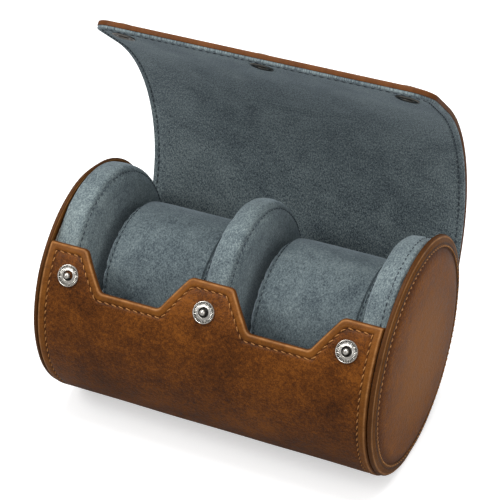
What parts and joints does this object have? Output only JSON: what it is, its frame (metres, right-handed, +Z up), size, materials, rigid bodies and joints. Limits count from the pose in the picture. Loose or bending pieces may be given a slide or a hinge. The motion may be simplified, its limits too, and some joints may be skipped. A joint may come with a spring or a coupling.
{
  "type": "watch travel case",
  "caption": "Cylindrical leather watch travel case with padded suede walls, lift-out pillows and a roll-over snap flap, modelled open.",
  "frame": {"origin": "on the surface it stands on, under the middle of the drum's axis", "axes": "+X along the drum to the right, -Y the front with the studs, +Z up"},
  "size_m": [0.1544, 0.1103, 0.167],
  "materials": {
    "leather": "waxed pull-up leather, satin, mottled",
    "end_leather": "waxed pull-up leather, satin, smoother",
    "rim_leather": "worn lighter edge leather",
    "suede": "brushed microfibre suede",
    "foam": "open-cell foam",
    "board": "grey-brown fibreboard",
    "snap_metal": "antique silver",
    "socket_metal": "gunmetal"
  },
  "bodies": {
    "case": {"shell_leather": "leather", "shell_board": "board", "shell_lining": "suede", "left_end_wall_cover": "suede", "left_end_wall_foam": "foam", "left_end_board": "board", "left_end_pad": "foam", "left_end_panel": "end_leather", "left_end_rim": "rim_leather", "right_end_wall_cover": "suede", "right_end_wall_foam": "foam", "right_end_board": "board", "right_end_pad": "foam", "right_end_panel": "end_leather", "right_end_rim": "rim_leather", "middle_wall_cover": "suede", "middle_wall_foam": "foam", "middle_wall_board": "board", "snap_studs": "snap_metal", "snap_rivets": "snap_metal"},
    "flap_strip_1": {"flap_leather_1": "leather", "flap_lining_1": "suede"},
    "flap_strip_2": {"flap_leather_2": "leather", "flap_lining_2": "suede"},
    "flap_strip_3": {"flap_leather_3": "leather", "flap_lining_3": "suede"},
    "flap_strip_4": {"flap_leather_4": "leather", "flap_lining_4": "suede"},
    "flap_strip_5": {"flap_leather_5": "leather", "flap_lining_5": "suede"},
    "flap_strip_6": {"flap_leather_6": "leather", "flap_lining_6": "suede"},
    "flap_strip_7": {"flap_leather_7": "leather", "flap_lining_7": "suede", "snap_sockets": "socket_metal", "snap_springs": "socket_metal", "snap_caps": "snap_metal"},
    "left_pillow": {"left_pillow_cover": "suede", "left_pillow_foam": "foam"},
    "right_pillow": {"right_pillow_cover": "suede", "right_pillow_foam": "foam"}
  },
  "joints": [
    {"name": "flap_fold", "type": "hinge", "parent": "case", "child": "flap_strip_1", "pos_m": [0, 0.0473, 0.049], "axis": [-1, 0, 0], "range_deg": [-28.94, 20]},
    {"name": "flap_curl", "type": "hinge", "parent": "flap_strip_1", "child": "flap_strip_2", "pos_m": [0, 0.05432, 0.06697], "axis": [-1, 0, 0], "range_deg": [-12.55, 0]},
    {"name": "flap_curl_b", "type": "hinge", "parent": "flap_strip_2", "child": "flap_strip_3", "pos_m": [0, 0.05602, 0.08619], "axis": [-1, 0, 0], "range_deg": [-7.71, 0]},
    {"name": "flap_curl_c", "type": "hinge", "parent": "flap_strip_3", "child": "flap_strip_4", "pos_m": [0, 0.05261, 0.1052], "axis": [-1, 0, 0], "range_deg": [-7.03, 0]},
    {"name": "flap_curl_d", "type": "hinge", "parent": "flap_strip_4", "child": "flap_strip_5", "pos_m": [0, 0.04507, 0.12299], "axis": [-1, 0, 0], "range_deg": [-4.57, 0]},
    {"name": "flap_tip_curl_b", "type": "hinge", "parent": "flap_strip_5", "child": "flap_strip_6", "pos_m": [0, 0.03379, 0.13867], "axis": [-1, 0, 0], "range_deg": [-10.37, 0]},
    {"name": "flap_tip_curl", "type": "hinge", "parent": "flap_strip_6", "child": "flap_strip_7", "pos_m": [0, 0.01956, 0.15177], "axis": [-1, 0, 0], "range_deg": [-26.96, 0]},
    {"name": "left_pillow_lift", "type": "slide", "parent": "case", "child": "left_pillow", "axis": [0, 0, 1], "range_m": [0, 0.065]},
    {"name": "right_pillow_lift", "type": "slide", "parent": "case", "child": "right_pillow", "axis": [0, 0, 1], "range_m": [0, 0.065]}
  ],
  "couplings": [
    {"joint": "flap_curl_b", "follows": "flap_curl", "ratio": 0.6139},
    {"joint": "flap_curl_c", "follows": "flap_curl", "ratio": 0.5596},
    {"joint": "flap_curl_d", "follows": "flap_curl", "ratio": 0.3634},
    {"joint": "flap_tip_curl_b", "follows": "flap_tip_curl", "ratio": 0.3846}
  ]
}
